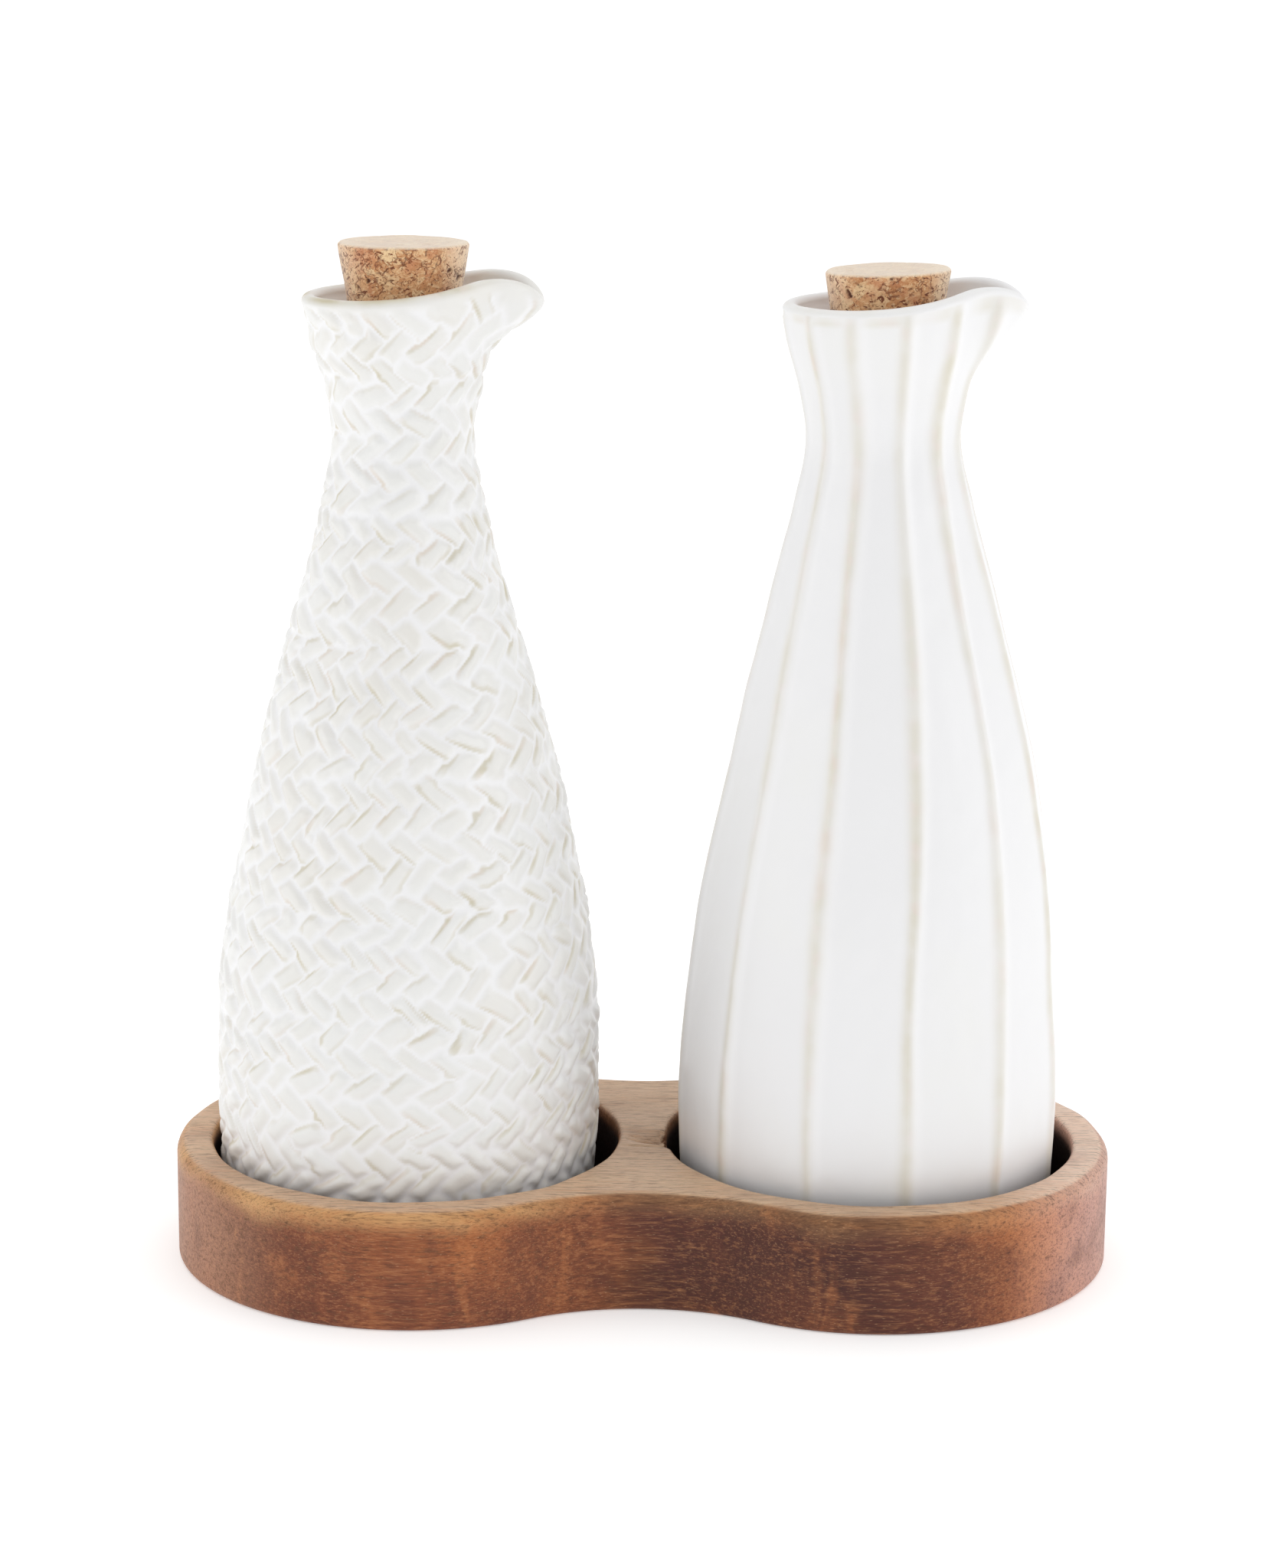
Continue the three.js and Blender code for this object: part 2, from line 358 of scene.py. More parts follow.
# Colours of the oiled acacia, from its broad zones to its finest marks. The paler ends, the pale
# right edge, the pale table top and part of the golden edge are painted light; the well shadow is
# painted shade.
WOOD_ZONES = (
    (0.30, colour(92, 48, 34)), (0.45, colour(124, 68, 44)),
    (0.56, colour(150, 86, 50)), (0.70, colour(190, 116, 60)),
)
EDGE_ZONES = (
    (0.3, colour(184, 132, 84)), (0.5, colour(218, 168, 112)), (0.7, colour(232, 188, 134)),
)
HEARTWOOD = colour(68, 32, 28)
DARK_CLOUD = colour(88, 44, 36)
PALE_CLOUD = colour(196, 122, 72)
DARK_BAND = colour(76, 38, 26)
RIGHT_END = colour(208, 162, 150)
LEFT_END = colour(196, 146, 116)
RIGHT_EDGE = colour(246, 222, 202)
TABLE_BLOOM = colour(224, 198, 172)
DARK_STREAK = colour(66, 32, 24)
PALE_STREAK = colour(216, 150, 94)
DARK_FIBRE = colour(62, 32, 26)
PALE_FIBRE = colour(220, 164, 116)
PORE_COLOUR = colour(48, 22, 16)
GLINT_COLOUR = colour(236, 190, 146)
WELL_SHADOW = colour(30, 13, 8)

# Where these come in along X, in metres: from none of it to all of it.
HEART_FROM = (-0.03, 0.006)
HEART_UNTIL = (0.078, 0.04)
RIGHT_END_FROM = (0.072, 0.094)
LEFT_END_FROM = (-0.07, -0.092)
RIGHT_EDGE_FROM = (0.066, 0.09)
DULL_EDGE_FROM = (-0.03, -0.005)


def wood_zones(n, along):
    """Broad soft zones of red-brown and orange-brown, darker in patches from the middle to the
    right, and two paler ends, which are a painted sheen where the side light catches them."""
    zones = n.noise(24, 3, 0.5, 0.8, n.stretched((0.8, 1.0, 0.55)))
    body = n.ramp(zones, *WOOD_ZONES)
    # Darker in patches from a little left of the middle to the right.
    heart = n.math("MULTIPLY", n.range(along, *HEART_FROM), n.range(along, *HEART_UNTIL))
    patch = n.range(n.noise(26, 2, 0.5, 0.5), 0.34, 0.62, 0.4, 1.0)
    dusk = n.math("MULTIPLY", n.math("MULTIPLY", heart, patch), 0.95)
    body = n.mix(dusk, body, HEARTWOOD)
    clouds = n.noise(90, 3, 0.6, 0.8, n.stretched((1.0, 1.0, 0.4)))
    body = n.mix(n.range(clouds, 0.5, 0.66, 0.0, 0.45), body, DARK_CLOUD)
    body = n.mix(n.range(clouds, 0.46, 0.32, 0.0, 0.3), body, PALE_CLOUD)
    # Painted sheen: both ends of the tray are made paler, pinkish grey on the right, where the
    # side light catches them.
    body = n.mix(n.range(along, *RIGHT_END_FROM, 0.0, 0.72), body, RIGHT_END)
    body = n.mix(n.range(along, *LEFT_END_FROM, 0.0, 0.55), body, LEFT_END)
    bands = n.noise(46, 3, 0.6, 0.6, n.stretched((0.2, 1.0, 1.0)))
    return n.mix(n.range(bands, 0.52, 0.7, 0.0, 0.4), body, DARK_BAND)


def worn_wood(n, along, table_top):
    """The golden colour of the top edges, partly worn wood and partly a painted highlight, and the
    paler table top, a painted highlight where the light from above falls on it.
    """
    grain = n.noise(60, 4, 0.6, 0.8, n.stretched((0.2, 1.0, 1.0)))
    edge = n.ramp(grain, *EDGE_ZONES)
    # Painted highlight: the table top is made paler where the light from above falls on it.
    table = n.mix(0.75, edge, TABLE_BLOOM)
    top = n.mix(n.math("MULTIPLY", table_top, 0.95), edge, table)
    # Painted highlight: the top edge turns much paler towards the right end, where the side light
    # catches it.
    return n.mix(n.range(along, *RIGHT_EDGE_FROM, 0.0, 0.75), top, RIGHT_EDGE)


def wear_of_wood(n, along, table_top, streaks):
    """How much of the golden edge shows, worn wood with a painted highlight: ragged along the
    grain, and duller on the edge from the middle to the right."""
    off_table = n.math("SUBTRACT", 1.0, table_top)
    dull = n.math("MULTIPLY", n.range(along, *DULL_EDGE_FROM), off_table)
    ragged = n.math("ADD", n.value("worn_edge"), n.range(streaks, 0.3, 0.7, -0.22, 0.22))
    worn = n.range(ragged, 0.05, 1.15, soft=False)
    return n.math("MULTIPLY", worn, n.range(dull, 0.0, 1.0, 0.95, 0.32))


def wood_material():
    """Oiled acacia with its grain along X: its zones, its golden edges, worn and with a painted
    highlight, and fine streaks, fibres and pores along the grain, which show as specks at the
    ends.
    The ends, the right edge and the table top carry painted highlights, and the wells painted
    shade."""
    n = Nodes("oiled_acacia")
    along = n.add("ShaderNodeSeparateXYZ", {"Vector": n.place}).outputs["X"]
    table_top = n.value("table_top")
    streaks = n.noise(1300, 4, 0.7, 0.0, n.stretched((0.05, 1, 1)))
    wear = wear_of_wood(n, along, table_top, streaks)
    # Golden top edges: worn wood, with a painted highlight.
    body = n.mix(wear, wood_zones(n, along), worn_wood(n, along, table_top))
    body = n.mix(n.range(streaks, 0.5, 0.66, 0.0, 0.52), body, DARK_STREAK)
    body = n.mix(n.range(streaks, 0.5, 0.34, 0.0, 0.2), body, PALE_STREAK)
    fibres = n.noise(3200, 3, 0.7, 0.0, n.stretched((0.1, 1, 1)))
    body = n.mix(n.range(fibres, 0.5, 0.66, 0.0, 0.42), body, DARK_FIBRE)
    body = n.mix(n.range(fibres, 0.46, 0.32, 0.0, 0.2), body, PALE_FIBRE)
    pores = n.range(n.cells(700, n.stretched((0.06, 1, 1))), 0.02, 0.2, 1.0, 0.0)
    pores = n.math("MULTIPLY", pores, n.range(n.noise(60, 2), 0.4, 0.6, 0.2, 1.0))
    body = n.mix(n.math("MULTIPLY", pores, 0.6), body, PORE_COLOUR)
    glints = n.cells(2000, n.stretched((0.2, 1, 1)))
    body = n.mix(n.range(glints, 0.0, 0.17, 0.4, 0.0), body, GLINT_COLOUR)
    body = n.mix(n.value("well_shade"), body, WELL_SHADOW)
    skin = n.bump(pores, -0.3, 0.0003, n.bump(streaks, 0.2, 0.0005))
    return n.finish(
        base_color=body, roughness=n.range(streaks, 0.3, 0.7, 0.42, 0.58), normal=skin,
        ior=1.45, specular_ior_level=0.25, coat_weight=0.12, coat_roughness=0.4,
    )


# Colours of the cork, from its granules to its darkest pits. The pale sides and the pale top
# are painted light.
GRANULES = (
    (0.0, colour(186, 128, 84)), (0.35, colour(210, 155, 107)),
    (0.7, colour(222, 174, 127)), (1.0, colour(238, 206, 160)),
)
DARK_GRAIN = colour(164, 104, 66)
PALE_GRAIN = colour(238, 206, 164)
FLAKE = colour(242, 212, 168)
BLUSH = colour(196, 124, 90)
BLEACHED = colour(244, 218, 186)
SEAM = colour(116, 62, 40)
SPLIT = colour(122, 70, 46)
PIT = colour(84, 42, 30)
SANDED = colour(242, 228, 206)
GRANULE_SCALE = 430
GRANULE_BEND = (0.0055, -0.005, 0.0045)


def granule_place(n):
    """The place in the cork, bent about so that granules have curled outlines."""
    warp = n.noise(420, 3, 0.65, 0.5)
    push = n.add("ShaderNodeVectorMath", {0: warp, 1: GRANULE_BEND}, operation="MULTIPLY")
    bent = n.add("ShaderNodeVectorMath", {0: n.place, 1: push.outputs[0]}, operation="ADD")
    return bent.outputs[0]


def cork_body(n, place, fine):
    """Packed granules of close tans, with paler flakes, pink patches and a painted sheen on the
    left and right sides.
    """
    granule = n.cells(GRANULE_SCALE, place, "Color")
    tone = n.add("ShaderNodeSeparateColor", {"Color": granule}).outputs[0]
    body = n.ramp(tone, *GRANULES)
    body = n.mix(n.range(fine, 0.45, 0.7, 0.0, 0.55), body, DARK_GRAIN)
    body = n.mix(n.range(fine, 0.48, 0.3, 0.0, 0.45), body, PALE_GRAIN)
    flakes = n.noise(560, 3, 0.65, 1.8, n.stretched((1.0, 1.0, 1.7)))
    body = n.mix(n.range(flakes, 0.55, 0.58, 0.0, 0.6), body, FLAKE)
    body = n.mix(n.range(n.noise(150, 2, 0.6), 0.5, 0.66, 0.0, 0.45), body, BLUSH)
    # Painted sheen: the cork's left and right sides are made paler.
    return n.mix(n.value("bleached"), body, BLEACHED)


def cork_material():
    """Pressed cork: granules, dark curled seams, splits and pits between them, and a smooth cut
    top that is painted paler than the sides, a painted highlight from the light above."""
    n = Nodes("pressed_cork")
    place = granule_place(n)
    fine = n.noise(1500, 4, 0.7, 0.6)
    sanded = n.value("sanded")
    side = n.range(sanded, 0.0, 1.0, 1.0, 0.6)
    edges = n.cells(GRANULE_SCALE, place, feature="DISTANCE_TO_EDGE")
    gaps = n.range(n.noise(420, 2, 0.6), 0.47, 0.57)
    seams = n.math("MULTIPLY", n.range(edges, 0.01, 0.12, 1.0, 0.0), gaps)
    splits = n.range(n.noise(480, 3, 0.6, 2.4, n.stretched((1.0, 1.0, 1.5))), 0.585, 0.625)
    seams_shown = n.math("MULTIPLY", n.math("MULTIPLY", seams, side), 0.78)
    body = n.mix(seams_shown, cork_body(n, place, fine), SEAM)
    body = n.mix(n.math("MULTIPLY", splits, side), body, SPLIT)
    body = n.mix(n.math("MULTIPLY", n.value("pit"), 0.95), body, PIT)
    # Painted highlight: the top is made paler than the sides.
    body = n.mix(n.math("MULTIPLY", sanded, 0.68), body, SANDED)
    skin = n.bump(fine, 0.4, 0.0004)
    skin = n.bump(n.math("ADD", seams, splits), -0.6, 0.0004, skin)
    return n.finish(
        base_color=body, roughness=0.85, normal=skin, ior=1.4,
        sheen_weight=0.5, sheen_roughness=0.4,
    )


# ------------------------------------------------------------------------------------------
# Tray

LOBE_RADIUS = 50.8
WAIST_HALF_WIDTH = 37.9
TRAY_BOTTOM_ROUND = 1.3
TRAY_TOP_ROUND = 2.8
WELL_RADIUS = 43.1
WELL_FLOOR = 9.0
WELL_CORNER = 1.5
WELL_LIP_ROUND = 1.2
FLAT_MARGIN = 0.4
LOBE_STEPS = 300
WAIST_STEPS = 70
WALL_STEPS = 13
ROUND_STEPS = 8

# How far below the tray's top each look begins and is full: worn edge with a painted highlight,
# a well's painted shade, table.
WORN_BAND = (6.0, -0.3)
SHADE_BAND = (1.0, 4.0)
TABLE_BAND = (0.6, 0.05)

# How far down the wandering top edge reaches, how much lower it is, and how much that varies.
EDGE_REACH = 4.0
EDGE_SINK = 0.12
EDGE_WANDER = 0.1

# Where wood has torn out of a well's lip, and each torn spot: [shift along Y, size, depth].
TORN_PLACE = -4.0
TORN_SPOTS = ((0.0, 3.4, 1.1), (3.6, 2.0, 0.7), (-3.0, 1.8, 0.6))


def tray_outline(inset, offset):
    """The figure eight, drawn in by an inset: two lobes and the waist arcs that touch them."""
    waist = ((offset ** 2 + WAIST_HALF_WIDTH ** 2 - LOBE_RADIUS ** 2)
             / (2 * (LOBE_RADIUS - WAIST_HALF_WIDTH)))
    centre = WAIST_HALF_WIDTH + waist
    meet = math.degrees(math.atan2(centre, -offset))
    lobe = arc((offset, 0), LOBE_RADIUS - inset, -meet, meet, LOBE_STEPS)
    side = arc((0, centre), waist + inset, meet - 180, -meet, WAIST_STEPS)[1:-1]
    half = np.vstack([lobe, side])
    return np.vstack([half, -half])


def tray_levels(height):
    """[inset, height] up the outside of the tray, from its underside to its top."""
    low = arc((TRAY_BOTTOM_ROUND, TRAY_BOTTOM_ROUND), TRAY_BOTTOM_ROUND, -90, -180, ROUND_STEPS)
    high = arc((TRAY_TOP_ROUND, height - TRAY_TOP_ROUND), TRAY_TOP_ROUND, 180, 90, ROUND_STEPS)
    between = np.linspace(low[-1], high[0], WALL_STEPS + 1)[1:-1]
    under = (TRAY_BOTTOM_ROUND + FLAT_MARGIN, 0)
    over = (TRAY_TOP_ROUND + FLAT_MARGIN, height)
    return np.vstack([under, low, between, high, over])


def well_levels(height):
    """[radius, height] down a well, from the tray's top to the edge of the flat floor."""
    lip = arc((WELL_RADIUS + WELL_LIP_ROUND, height - WELL_LIP_ROUND), WELL_LIP_ROUND,
              90, 180, ROUND_STEPS)
    corner = arc((WELL_RADIUS - WELL_CORNER, WELL_FLOOR + WELL_CORNER), WELL_CORNER,
                 0, -90, ROUND_STEPS)
    start = (WELL_RADIUS + WELL_LIP_ROUND + FLAT_MARGIN, height)
    wall = np.linspace(lip[-1], corner[0], WALL_STEPS + 1)[1:-1]
    end = (WELL_RADIUS - WELL_CORNER - FLAT_MARGIN, WELL_FLOOR)
    return np.vstack([start, lip, wall, corner, end])


def roughen_edges(points, height, wells):
    """Hand-finished edges: the top edge wanders a little, and the wood has torn out of the lip
    of one well where the grain turns."""
    near_top = smooth(height - EDGE_REACH, height, points[:, 2])
    points[:, 2] -= near_top * (EDGE_SINK + EDGE_WANDER * ripple(points, 16, seed=3))
    for shift, size, depth in TORN_SPOTS:
        spot = np.array([wells[1] - WELL_RADIUS - 0.5, TORN_PLACE + shift, height])
        near = bell(np.linalg.norm(points - spot, axis=1), size)
        torn = near * depth * near_top * (1 + 0.6 * ripple(points, 1.6, seed=11))
        points[:, 2] -= torn
        points[:, 0] -= 0.5 * torn
    return points


def make_tray(material):
    """The tray: its outside, its two wells, and flat faces that fill its underside and its top.
    It is marked for where its edge is worn and painted lighter as a highlight, where a well is in
    painted shade and where its top is."""
    _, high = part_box("tray")
    height = high.z / MM
    offset = high.x / MM - LOBE_RADIUS
    wells = (-offset, offset)
    shell = Shell()

    def level_ring(outline, level, inside=False):
        points = np.column_stack([outline, np.full(len(outline), level)])
        points = roughen_edges(points, height, wells)
        below = np.full(len(points), height - level)
        # The worn edge also carries a painted highlight on the rounded top edge.
        worn = smooth(*WORN_BAND, below - 0.7 * ripple(points, 18, seed=5))
        shade = smooth(*SHADE_BAND, below) if inside else 0 * below
        table = smooth(*TABLE_BAND, below)
        return shell.ring(points, worn_edge=worn, well_shade=shade, table_top=table)

    outside = [level_ring(tray_outline(inset, offset), level)
               for inset, level in tray_levels(height)]
    for lower, upper in zip(outside, outside[1:]):
        shell.join(lower, upper)
    shell.triangles.append(filled_face(shell, outside[0], [], down=True))
    lips = []
    for centre in wells:
        rings = []
        for radius, level in well_levels(height):
            outline = circle(radius, LOBE_STEPS) + (centre, 0)
            rings.append(level_ring(outline, level, inside=True))
        for upper, lower in zip(rings, rings[1:]):
            shell.join(upper, lower)
        shell.close(rings[-1], (centre, 0, WELL_FLOOR), up=True)
        lips.append(rings[0])
    shell.triangles.append(filled_face(shell, outside[-1], lips, down=False))
    return finish_piece(shell.make("tray_body"), "tray", material)


def filled_face(shell, edge, holes, down):
    """Triangles that fill a flat ring, leaving its holes open."""
    rings = [edge, *holes]
    points = np.vstack(shell.points)
    loops = [[Vector((*points[i][:2], 0)) for i in each] for each in rings]
    order = np.concatenate(rings)
    faces = order[np.array(tessellate_polygon(loops))]
    corner = [points[faces[:, k]][:, :2] for k in range(3)]
    first, second = corner[1] - corner[0], corner[2] - corner[0]
    turn = first[:, 0] * second[:, 1] - first[:, 1] * second[:, 0]
    flip = (turn > 0) == down
    faces[flip] = faces[flip][:, ::-1]
    return faces


# ------------------------------------------------------------------------------------------
# Bottles

FOOT_RADIUS = 37.5
FOOT_RING_WIDTH = 5.0
FOOT_RECESS = 1.6
FOOT_OUTER_ROUND = 1.4
FOOT_INNER_ROUND = 0.6
RECESS_ROUND = 0.8
RECESS_LEAN = 0.4
FOOT_CENTRE_RADIUS = 6.0
FOOT_SIDE_RINGS = 5
LIP_STEPS = 14
LIP_WEAR_STEP = 4
LIP_WEAR_SPREAD = 3.0
SWAY_STEPS = 80
FLOOR_THICKNESS = 6.0
BORE_CORNER = 5.0
BORE_STEP = 3.0
FLARE_STEPS = 18
WALL = 4.2
LIP_THICKNESS = 3.2
BORE_RADIUS = 9.6
SEAT_LENGTH = 5.0
RIM_CLIMB_START = 183.0
SPOUT_SPREAD = 0.4
RIM_LIFT_SPREAD = 1.25
CHANNEL_SPREAD = 0.24
FIT_GAP = 0.4
CORK_TAPER = 0.15

WEAVE_BOTTLE = {
    # [radius, height]: foot edge, belly, shoulder, neck, mouth.
    "outline": [
        (39.3, 6), (40.2, 30), (39.5, 52), (35.9, 75), (29.4, 105), (20.9, 135),
        (16.7, 152), (14.6, 164.5), (15.9, 176), (18.5, 185.3), (20.4, 193.0),
    ],
    # [shift, height]: how far the handmade body leans off its axis, along X.
    "sway": [(0.3, 0), (0.3, 60), (0.15, 100), (-0.3, 125), (-0.3, 160), (-0.3, 200)],
    "spout_start": 183.0, "spout_reach": 8.4, "rim_lift": 4.3, "channel_dip": 4.2, "rim_wear": 1.5,
}
RIBBED_BOTTLE = {
    "outline": [
        (39.6, 6), (40.4, 30), (38.9, 52), (36.4, 75), (30.5, 105), (22.9, 135),
        (18.4, 152), (15.75, 165), (17.1, 176), (19.7, 185.4), (21, 192.0),
    ],
    "sway": [
        (-0.1, 0), (-0.1, 45), (0.5, 70), (1.2, 97), (0.9, 115), (0.3, 140),
        (0, 160), (-0.3, 180), (-0.3, 200),
    ],
    "spout_start": 178.5, "spout_reach": 8.0, "rim_lift": 4.6, "channel_dip": 3.8, "rim_wear": 0.4,
}


def pull_spout(grid, bottle, rim):
    """Pulls the round mouth out into a pouring lip towards +X. The rim climbs towards the lip
    and dips again at its tip, where the channel runs out."""
    rise = np.clip((grid[..., 2] - RIM_CLIMB_START) / (rim - RIM_CLIMB_START), 0, 1.05)
    pulled = smooth(bottle["spout_start"], rim, grid[..., 2])
    angle = np.arctan2(grid[..., 1], grid[..., 0])
    blunt = np.exp(-(np.abs(angle / SPOUT_SPREAD) ** 2.6))
    reach = bottle["spout_reach"] * blunt * pulled
    lift = (bottle["rim_lift"] * bell(angle, RIM_LIFT_SPREAD)
            - bottle["channel_dip"] * bell(angle, CHANNEL_SPREAD))
    grid[..., 0] += reach * np.cos(angle)
    grid[..., 1] += reach * np.sin(angle)
    grid[..., 2] += lift * rise ** 2
    return grid


def grid_height(grid, rim):
    """Height of each point as if the rim were level, so that bands follow the rim."""
    top = grid[-1:, :, 2]
    height = grid[..., 2]
    share = np.clip((height - RIM_CLIMB_START) / (top - RIM_CLIMB_START), 0, 1)
    level = RIM_CLIMB_START + share * (rim - RIM_CLIMB_START)
    return np.where(height > RIM_CLIMB_START, level, height)


def foot_line(body_start):
    """[radius, height] under a bottle: the recess, the foot ring, and the way up to the body."""
    recess = FOOT_RADIUS - FOOT_RING_WIDTH
    recess_corner = recess - RECESS_LEAN - RECESS_ROUND
    side_start = (FOOT_RADIUS + 0.25, 2.4)
    side_end = (body_start[0] - 0.35, body_start[1] - 2.0)
    return np.vstack([
        np.linspace((FOOT_CENTRE_RADIUS, FOOT_RECESS), (recess - 2, FOOT_RECESS), 8),
        arc((recess_corner, FOOT_RECESS - RECESS_ROUND), RECESS_ROUND, 90, 0, 4)[1:],
        arc((recess + FOOT_INNER_ROUND, FOOT_INNER_ROUND), FOOT_INNER_ROUND, 180, 270, 4)[1:],
        arc((FOOT_RADIUS - FOOT_OUTER_ROUND, FOOT_OUTER_ROUND), FOOT_OUTER_ROUND, -90, 0, 8),
        np.linspace(side_start, side_end, FOOT_SIDE_RINGS),
    ])


def bore_line(outline, rim, cork_low, cork_radius):
    """[radius, height] up the inside: one wall's distance from the outside, straight under the
    cork, along the cork's taper where it sits, and flaring into the mouth."""
    seat_top = cork_low + SEAT_LENGTH
    seat_radius = cork_radius + CORK_TAPER * SEAT_LENGTH + FIT_GAP
    mouth = outline[-1, 0] - LIP_THICKNESS
    corner = (outline[0, 0] - WALL - BORE_CORNER, FLOOR_THICKNESS + BORE_CORNER)
    floor = arc(corner, BORE_CORNER, -90, 0, 6)
    body_heights = np.arange(FLOOR_THICKNESS + BORE_CORNER + 4, cork_low, BORE_STEP)
    body_radii = np.interp(body_heights, outline[:, 1], outline[:, 0]) - WALL
    body = np.column_stack([np.maximum(body_radii, BORE_RADIUS), body_heights])
    seat = np.array([(max(cork_radius + FIT_GAP, BORE_RADIUS), cork_low), (seat_radius, seat_top)])
    shares = np.linspace(0, 1, FLARE_STEPS + 1)[1:]
    flare = np.column_stack([
        seat_radius + (mouth - seat_radius) * shares ** 0.9,
        seat_top + (rim - seat_top) * shares,
    ])
    return np.vstack([floor, body, seat, flare])


def cork_seat(cork_node, base):
    """How high above a bottle's base its cork starts, and the cork's radius there."""
    low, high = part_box(cork_node)
    top_radius = (high.x - low.x) / 2 / MM
    return low.z / MM - base, top_radius - CORK_TAPER * (high.z - low.z) / MM


def lip_wear(lip, rim_wear):
    """How thin the glaze is over the lip: in patches, most of all just outside the lip's crest,
    and hardly at the spout."""
    patchy = np.clip(0.6 + 0.3 * ripple(lip, 9, seed=21), 0, 1)
    angle = np.arctan2(lip[0, :, 1], lip[0, :, 0])
    outer = bell(np.arange(len(lip)) - LIP_WEAR_STEP, LIP_WEAR_SPREAD)[:, None]
    return patchy * outer * (1 - 0.85 * bell(angle, 0.8)) * rim_wear


def make_bottle(node, cork_node, bottle, relief, material, sides, rings):
    """A bottle turned about its axis, with its spout pulled, its relief and its lean, and with
    marks for where the glaze is thin, pooled or absent, which also carry painted shade and a
    painted highlight along the relief."""
    low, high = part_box(node)
    centre = np.array([(low.x + high.x) / 2, 0, low.z]) / MM
    outside = spline(bottle["outline"], rings)
    rim = outside[-1, 1]
    foot = foot_line(outside[0])
    crest = (outside[-1, 0] - LIP_THICKNESS / 2, rim)
    lip = arc(crest, LIP_THICKNESS / 2, 0, 180, LIP_STEPS)[1:]
    bore = bore_line(outside, rim, *cork_seat(cork_node, centre[2]))[::-1]
    line = np.vstack([foot, outside, lip, bore[1:]])
    grid = pull_spout(turned_grid(line, sides), bottle, rim)
    body = slice(len(foot), len(foot) + len(outside))
    brim = slice(body.stop, body.stop + len(lip))
    thin, pool, bare = np.zeros((3, len(grid), sides))
    lift, thin[body], pool[body] = relief(grid[body], outside, rim)
    grid[body] += surface_normals(grid)[body] * lift[..., None]
    thin[brim] = lip_wear(grid[brim], bottle["rim_wear"])
    bare[:len(foot) - FOOT_SIDE_RINGS - 1] = 1.0
    sway = spline(bottle["sway"], SWAY_STEPS)
    grid[..., 0] += np.interp(grid[..., 2], sway[:, 1], sway[:, 0])
    shell = shell_of_grid(grid, centre, FOOT_RECESS, FLOOR_THICKNESS,
                          thin_glaze=thin, pooled_glaze=pool, bare_clay=bare)
    return finish_piece(shell.make(f"{node}_body"), node, material)


# The weave: rows of short strips that lean left and right in turn. Sizes are in millimetres on
# the bottle's surface.
STRIP_PITCH = 6.3
ROW_HEIGHT = 5.4
ROWS_BELOW = 2
ROWS_SPARE = 6
ROWS_ALIKE = 5
STRIP_WIDTH = math.sqrt(STRIP_PITCH * ROW_HEIGHT / 2)
STRIP_JITTER = 0.08
LENGTH_JITTER = 0.07
LEAN_JITTER = 7.5
WEAVE_DEPTH = 0.68
WEAVE_SEED = 7
FRONT = -math.pi / 2


